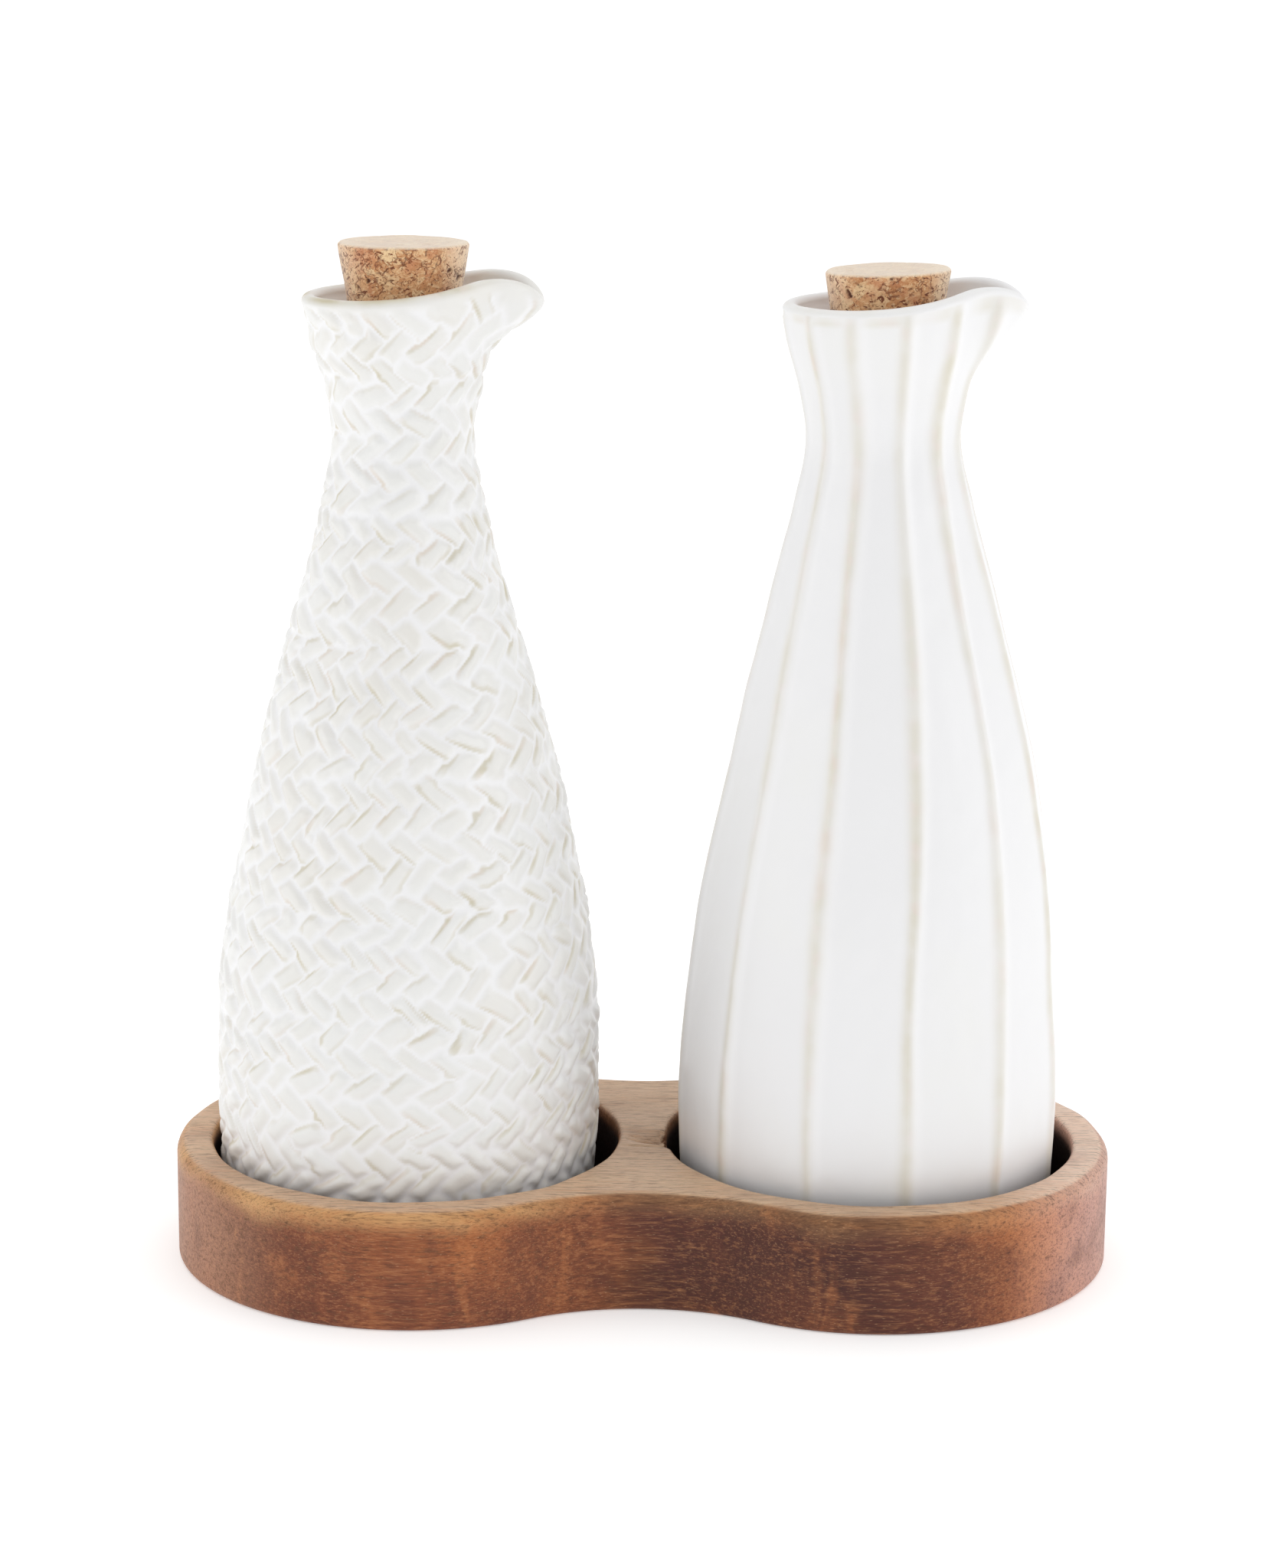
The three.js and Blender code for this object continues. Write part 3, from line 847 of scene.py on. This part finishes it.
class Weave:
    """The plan of the weave: where its rows are, and how each strip is out of true. Every row
    goes round the bottle a whole number of times, so it has no seam. A few rows at a time hold
    the same number of strips, and fewer of them where the bottle narrows. Shifts are shares of
    a strip's pitch or of a row, and half sizes are in strip widths."""

    def __init__(self, along, radii):
        rng = np.random.default_rng(WEAVE_SEED)
        self.rows = int(along[-1] / ROW_HEIGHT) + ROWS_SPARE
        self.middles = (np.arange(self.rows) - ROWS_BELOW) * ROW_HEIGHT
        row_radius = np.interp(self.middles, along, radii)
        group = np.arange(self.rows) // ROWS_ALIKE
        group_radius = np.bincount(group, row_radius) / np.bincount(group)
        self.holds = np.round(2 * math.pi * group_radius[group] / STRIP_PITCH).astype(int)
        strips = (self.rows, self.holds.max() + 1)
        self.shift_x = rng.normal(0, STRIP_JITTER, strips)
        self.shift_y = rng.normal(0, STRIP_JITTER, strips)
        self.lean = np.radians(rng.normal(0, LEAN_JITTER, strips))
        self.half_width = 0.5 * (1 + rng.normal(0, STRIP_JITTER, strips))
        self.half_length = 1 + rng.normal(0, LENGTH_JITTER, strips)
        # Each strip's chance of tan on its left side, its right side and one end. The left side's
        # is kept stronger, painted shade where that side faces away from the light on the right.
        chances = rng.uniform(0.25, 1.0, (*strips, 3))
        self.left_wear = chances[..., 0]
        self.right_wear = 0.55 * chances[..., 1]
        self.worn_end = chances[..., 2]

    def measure(self, turn, place, row, column_step):
        """For each point and one strip near it: how far inside the strip's edge the point is,
        where it is across and along the strip, and the strip's number in its row."""
        count = self.holds[row]
        column = turn * count / (2 * math.pi) - 0.5 * (row % 2)
        number = np.round(column).astype(int) + column_step
        strip = number % count
        x = (column - number - self.shift_x[row, strip]) * math.sqrt(2)
        rows_off = (place - self.middles[row]) / ROW_HEIGHT
        y = (rows_off - self.shift_y[row, strip]) * math.sqrt(2)
        tilt = np.where(row % 2 == 0, 1, -1) * math.pi / 4 + self.lean[row, strip]
        length = x * np.cos(tilt) + y * np.sin(tilt)
        across = -x * np.sin(tilt) + y * np.cos(tilt)
        inside = np.minimum(self.half_length[row, strip] - np.abs(length),
                            self.half_width[row, strip] - np.abs(across))
        return inside, across, length, strip

    def strips_at(self, turn, place):
        """The strip that each point is deepest inside: how deep, how deep it is inside the next
        one, where it is across and along the strip, and the strip's row and number."""
        near = np.round(place / ROW_HEIGHT).astype(int) + ROWS_BELOW
        best = np.full(turn.shape, -9.0)
        second = np.full(turn.shape, -9.0)
        found = [np.zeros(turn.shape) for _ in range(4)]
        for row_step in (-1, 0, 1):
            row = np.clip(near + row_step, 0, self.rows - 1)
            for column_step in (-1, 0, 1):
                inside, across, length, strip = self.measure(turn, place, row, column_step)
                better = inside > best
                second = np.where(better, best, np.maximum(second, inside))
                best = np.where(better, inside, best)
                found = [np.where(better, new, old)
                         for new, old in zip((across, length, row, strip), found)]
        across, length, row, strip = found
        return best, second, across, length, row.astype(int), strip.astype(int)


def strip_wear(weave, row, strip, edge, across, signed, raised):
    """How thin the glaze is on the strips: in strokes along their long sides, wider towards one
    end, and a little over the whole of some strips. The strokes are stronger on the left sides,
    which is painted shade where those sides face away from the light."""
    # Painted shade: left sides take the stronger chance of a stroke.
    leftward = np.where(row % 2 == 0, across, -across) > 0
    wear = np.where(leftward, weave.left_wear[row, strip], weave.right_wear[row, strip])
    worn_end = weave.worn_end[row, strip]
    wedge = np.clip(0.5 - 0.5 * signed * np.where(worn_end > 0.6, 1, -1), 0, 1)
    stroke_end = smooth(0.35 + 0.4 * wedge, 0.9 + 0.8 * wedge, edge)
    stroke = smooth(0.05, 0.4, edge) * (1 - stroke_end)
    beside = np.abs(across) * 2
    on_long_side = smooth(0.3, 0.6, beside) * (1 - smooth(1.0, 1.3, beside))
    off_ends = 1 - np.clip(np.abs(signed), 0, 1) ** 3
    thin = 0.95 * stroke * on_long_side * off_ends * smooth(0.2, 0.8, wear)
    return thin + 0.1 * raised * smooth(0.5, 1.0, worn_end)


def weave_relief(grid, outline, rim):
    """Height of the woven strips over the bottle's surface, and where the glaze is thin, with
    painted shade on the strips' left sides, and where it pools."""
    along = line_lengths(outline)
    weave = Weave(along, outline[:, 0])
    angle = np.arctan2(grid[..., 1], grid[..., 0])
    turn = (angle - FRONT + math.pi) % (2 * math.pi) - math.pi
    turn = turn + 0.9 * ripple(grid, 34, seed=32) / outline[:, :1]
    place = np.broadcast_to(along[:, None], turn.shape) + 0.7 * ripple(grid, 30, seed=31)
    best, second, across, length, row, strip = weave.strips_at(turn, place)

    edge = (best - second) / 2 * STRIP_WIDTH
    signed = length / weave.half_length[row, strip]
    raised = smooth(0.0, 1.6, edge) * (1 - 0.3 * np.clip(np.abs(signed), 0, 1) ** 4)
    raised *= 1 - 0.4 * smooth(0.3, 0.8, -best)
    flooded = 0.6 + 0.4 * smooth(-0.9, 0.5, ripple(grid, 26, seed=35))
    height = raised * flooded * (1 + 0.16 * ripple(grid, 11, seed=33))
    height += 0.04 * ripple(grid, 3.2, seed=34)

    thin = strip_wear(weave, row, strip, edge, across, signed, raised)
    thin *= 1 - smooth(0.15, 0.5, -best)
    pool = 1 - smooth(0.0, 1.3, edge)

    below_rim = rim - grid_height(grid, rim)
    fade = smooth(0.5, 5.0, place) * smooth(0.0, 1.4, below_rim)
    return WEAVE_DEPTH * (height - 0.5) * fade, np.clip(thin * fade, 0, 1), pool * fade


# The ribs: thin upright ridges, drawn by hand, with nearly flat panels between them.
RIB_COUNT = 12
RIB_OFFSET = math.radians(-80.5)
RIB_HALF_WIDTH = 1.35
RIB_HEIGHT = 0.55
PANEL_HOLLOW = 0.45
BELLY_RADIUS = 40.0
RIB_SEED = 12


def rib_wander(height, phases):
    """How far a rib strays sideways at each height, as if drawn by hand."""
    wander = 0.3 * np.sin(height / 61 + phases[0]) + 0.3 * np.sin(height / 23 + phases[1])
    wander += 0.12 * np.sin(height / 8 + phases[2])
    return wander * (1.1 + 0.3 * np.sin(phases[3]))


def rib_relief(grid, outline, rim):
    """Height of the ribs and hollow panels over the bottle's surface, and where the glaze is
    thin, along the ribs and in a band under the rim. The thin glaze along each rib is shifted to
    its left slope as painted shade, and whiter glaze on its right slope is a painted highlight
    from the light on the right."""
    rng = np.random.default_rng(RIB_SEED)
    angle = np.arctan2(grid[..., 1], grid[..., 0])
    radius = outline[:, :1]
    height = np.broadcast_to(outline[:, 1:], angle.shape)
    ridges, thin, pool = np.zeros((3, *angle.shape))
    spacing = 2 * math.pi / RIB_COUNT
    panel = np.ones(angle.shape)
    for k in range(RIB_COUNT):
        phases = rng.uniform(0, 2 * math.pi, 4)
        away = (angle - RIB_OFFSET - k * spacing + math.pi) % (2 * math.pi) - math.pi
        across = away * radius + rib_wander(height, phases)
        width = RIB_HALF_WIDTH * (1 + 0.18 * np.sin(height / 17 + phases[2]))
        strength = 0.8 + 0.2 * np.sin(height / 31 + phases[1])
        ridges = np.maximum(ridges, bell(across, width))
        # Tan on each rib's left slope: thin glaze, with painted shade.
        thin = np.maximum(thin, bell(across + 0.6, width) * strength)
        # Painted highlight: whiter glaze on each rib's right slope.
        pool = np.maximum(pool, 0.8 * bell(across - 1.4, width))
        panel = np.minimum(panel, np.abs(across) / radius / (spacing / 2))
    hollow = PANEL_HOLLOW * (radius / BELLY_RADIUS) * smooth(0.0, 0.9, panel)
    over_rim = grid_height(grid, rim) - rim
    top_fade = 1 - smooth(-1.4, 0.4, over_rim)
    foot_fade = smooth(2.0, 9.0, height)
    band = 0.75 * bell(over_rim + 0.7, 0.9) * (0.7 + 0.3 * ripple(grid, 9, seed=43))
    lift = RIB_HEIGHT * ridges - hollow
    lift += 0.06 * ripple(grid, 24, seed=41) + 0.02 * ripple(grid, 6, seed=42)
    thin = np.maximum(thin * (0.6 + 0.4 * top_fade), band)
    return lift * top_fade * foot_fade - 0.1, np.clip(thin * foot_fade, 0, 1), pool


# ------------------------------------------------------------------------------------------
# Corks

CORK_EDGE_ROUND = 0.8
CORK_SIDES = 260
CORK_SIDE_STEPS = 90
CORK_TOP_STEPS = 40
CORK_SKIN = 0.06


def cork_wear(points, seed):
    """How deep each point of a cork is worn in, and how dark it is: torn-out pits, and curled
    cracks where granules have come apart."""
    crack_line = 1 - smooth(0.02, 0.16, np.abs(ripple(points, 5.5, seed + 50)))
    crack = crack_line * smooth(0.5, 1.0, ripple(points, 3.6, seed + 51))
    pit_zone = smooth(-0.4, 0.4, ripple(points, 8, seed + 53))
    pit = pit_zone * smooth(1.5, 1.9, ripple(points, 2.4, seed + 52))
    return 0.25 * crack + 0.45 * pit, np.clip(pit + 0.8 * crack, 0, 1)


def cork_line(top_radius, length):
    """[radius, height] from the middle of a cork's underside to the middle of its top."""
    bottom_radius = top_radius - CORK_TAPER * length
    edge = CORK_EDGE_ROUND
    foot = arc((bottom_radius - edge, edge), edge, -90, 0, 5)
    head = arc((top_radius - edge, length - edge), edge, 0, 90, 5)
    side = np.linspace(foot[-1], head[0], CORK_SIDE_STEPS)[1:-1]
    inward = np.linspace(1, 0, CORK_TOP_STEPS)[1:-1, None]
    below = np.column_stack([foot[0, 0] * inward[::-1], np.zeros(len(inward))])
    above = np.column_stack([head[-1, 0] * inward, np.full(len(inward), length)])
    return np.vstack([below, foot, side, head, above])


def make_cork(node, material, seed, top_slope):
    """A tapered cork, worn in a little all over, with marks for its pits, its smooth top, painted
    paler as a highlight, and a painted sheen on its left and right sides. The slope tilts its top
    along X."""
    low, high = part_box(node)
    centre = np.array([(low.x + high.x) / 2, (low.y + high.y) / 2, low.z]) / MM
    top_radius = (high.x - low.x) / 2 / MM
    length = (high.z - low.z) / MM
    grid = turned_grid(cork_line(top_radius, length), CORK_SIDES)
    by_axis = np.hypot(grid[..., 0], grid[..., 1]) < 0.5
    wear, dark = cork_wear(grid, seed)
    # The top: smooth and less worn, and painted paler as a highlight from the light above.
    sanded = smooth(length - 0.6, length - 0.05, grid[..., 2])
    wear *= 1 - 0.75 * sanded
    dark *= 1 - 0.7 * sanded
    uneven = np.clip(CORK_SKIN + 0.05 * ripple(grid, 9, seed + 70), 0, 1)
    depth = np.where(by_axis, CORK_SKIN, uneven + wear)
    grid -= surface_normals(grid) * depth[..., None]
    # Painted sheen: the left and right sides are made paler, more on the right, where the side
    # lamps catch them.
    sideways = grid[..., 0] / top_radius
    bleached = np.where(sideways > 0, 0.9, 0.6) * smooth(0.5, 0.98, np.abs(sideways))
    slant = top_slope * (grid[..., 0] - top_radius) * smooth(0, length, grid[..., 2])
    grid[..., 2] += slant
    top = grid[-1, :, 2].mean()
    shell = shell_of_grid(grid, centre, CORK_SKIN, top, pit=dark, sanded=sanded, bleached=bleached)
    return finish_piece(shell.make(f"{node}_stopper"), node, material)


# ------------------------------------------------------------------------------------------
# Floor, light and camera

CAMERA_AT = Vector((-0.00216, -0.7775, 0.2940))
CAMERA_PITCH = 0.242
CAMERA_YAW = 0.0018
CAMERA_ROLL = 0.0095
CAMERA_LENS = 88.13
CAMERA_SENSOR = 36.0
CAMERA_CLIP = (0.05, 60)


def make_camera():
    """Looks along +Y and down at the set, from a little above the corks."""
    forward = Vector((
        math.sin(CAMERA_YAW) * math.cos(CAMERA_PITCH),
        math.cos(CAMERA_YAW) * math.cos(CAMERA_PITCH),
        -math.sin(CAMERA_PITCH),
    ))
    level = Vector((math.cos(CAMERA_YAW), -math.sin(CAMERA_YAW), 0))
    upright = level.cross(forward)
    right = math.cos(CAMERA_ROLL) * level + math.sin(CAMERA_ROLL) * upright
    up = -math.sin(CAMERA_ROLL) * level + math.cos(CAMERA_ROLL) * upright
    data = bpy.data.cameras.new("camera")
    data.lens = CAMERA_LENS
    data.sensor_width = CAMERA_SENSOR
    data.clip_start, data.clip_end = CAMERA_CLIP
    camera = bpy.data.objects.new("camera", data)
    bpy.context.scene.collection.objects.link(camera)
    turn = Matrix((right, up, -forward)).transposed().to_4x4()
    camera.matrix_world = Matrix.Translation(CAMERA_AT) @ turn
    bpy.context.scene.camera = camera


FLOOR_HALF = 30.0
FLOOR_GLOW = 0.34


def make_floor():
    """A wide pale floor under the tray, which glows a little so that it looks white."""
    n = Nodes("pale_floor")
    material = n.finish(
        base_color=(0.88, 0.88, 0.88, 1), roughness=0.9,
        emission_color=(1, 1, 1, 1), emission_strength=FLOOR_GLOW,
    )
    mesh = bpy.data.meshes.new("floor")
    signs = ((-1, -1), (1, -1), (1, 1), (-1, 1))
    corners = [(x * FLOOR_HALF, y * FLOOR_HALF, 0) for x, y in signs]
    mesh.from_pydata(corners, [], [(0, 1, 2, 3)])
    mesh.materials.append(material)
    floor = bpy.data.objects.new("floor", mesh)
    bpy.context.scene.collection.objects.link(floor)


# How strong the studio's light is, and how much stronger it gets towards +X and towards +Y.
WORLD_LEVEL = 1.02
WORLD_SLOPE = (0.03, 0.2, 0.0)

# [name, place, size, power] of each lamp, and the place that they are all turned to.
LAMPS = (
    ("lamp_above", (0, 0.1, 1.5), (1.6, 1.6), 3),
    ("lamp_right", (1.3, -0.5, 0.5), (0.8, 1.2), 3),
    ("lamp_left", (-1.3, -0.5, 0.5), (0.8, 1.2), 2.6),
)
LAMP_TARGET = Vector((0, 0, 0.1))


def area_light(name, place, size, power):
    """A soft lamp, turned to the middle of the set."""
    data = bpy.data.lights.new(name, "AREA")
    data.shape = "RECTANGLE"
    data.size, data.size_y = size
    data.energy = power
    light = bpy.data.objects.new(name, data)
    bpy.context.scene.collection.objects.link(light)
    light.location = place
    aim = LAMP_TARGET - Vector(place)
    light.rotation_euler = aim.to_track_quat("-Z", "Y").to_euler()


def make_world():
    """A white studio: light from all round, most of it from the bright backdrop."""
    world = bpy.data.worlds.new("studio")
    bpy.context.scene.world = world
    world.use_nodes = True
    tree = world.node_tree
    tree.nodes.clear()
    direction = tree.nodes.new("ShaderNodeTexCoord").outputs["Generated"]
    slope = tree.nodes.new("ShaderNodeVectorMath")
    slope.operation = "DOT_PRODUCT"
    slope.inputs[1].default_value = WORLD_SLOPE
    level = tree.nodes.new("ShaderNodeMath")
    level.operation = "ADD"
    level.inputs[1].default_value = WORLD_LEVEL
    back = tree.nodes.new("ShaderNodeBackground")
    output = tree.nodes.new("ShaderNodeOutputWorld")
    tree.links.new(direction, slope.inputs[0])
    tree.links.new(slope.outputs["Value"], level.inputs[0])
    tree.links.new(level.outputs[0], back.inputs["Strength"])
    tree.links.new(back.outputs[0], output.inputs["Surface"])


# ------------------------------------------------------------------------------------------
# The scene

bpy.context.scene.view_settings.view_transform = "Standard"
make_camera()
make_floor()
make_world()
for lamp in LAMPS:
    area_light(*lamp)
make_tray(wood_material())
woven_glaze = glaze_material(
    "woven_glaze", colour(233, 233, 231), colour(231, 229, 224), colour(198, 189, 160))
make_bottle("weave_bottle", "weave_cork", WEAVE_BOTTLE, weave_relief, woven_glaze,
            sides=540, rings=400)
ribbed_glaze = glaze_material(
    "ribbed_glaze", colour(236, 236, 237), colour(236, 236, 235), colour(216, 210, 192))
make_bottle("ribbed_bottle", "ribbed_cork", RIBBED_BOTTLE, rib_relief, ribbed_glaze,
            sides=420, rings=180)
cork = cork_material()
make_cork("weave_cork", cork, seed=1, top_slope=0.0)
make_cork("ribbed_cork", cork, seed=2, top_slope=0.035)
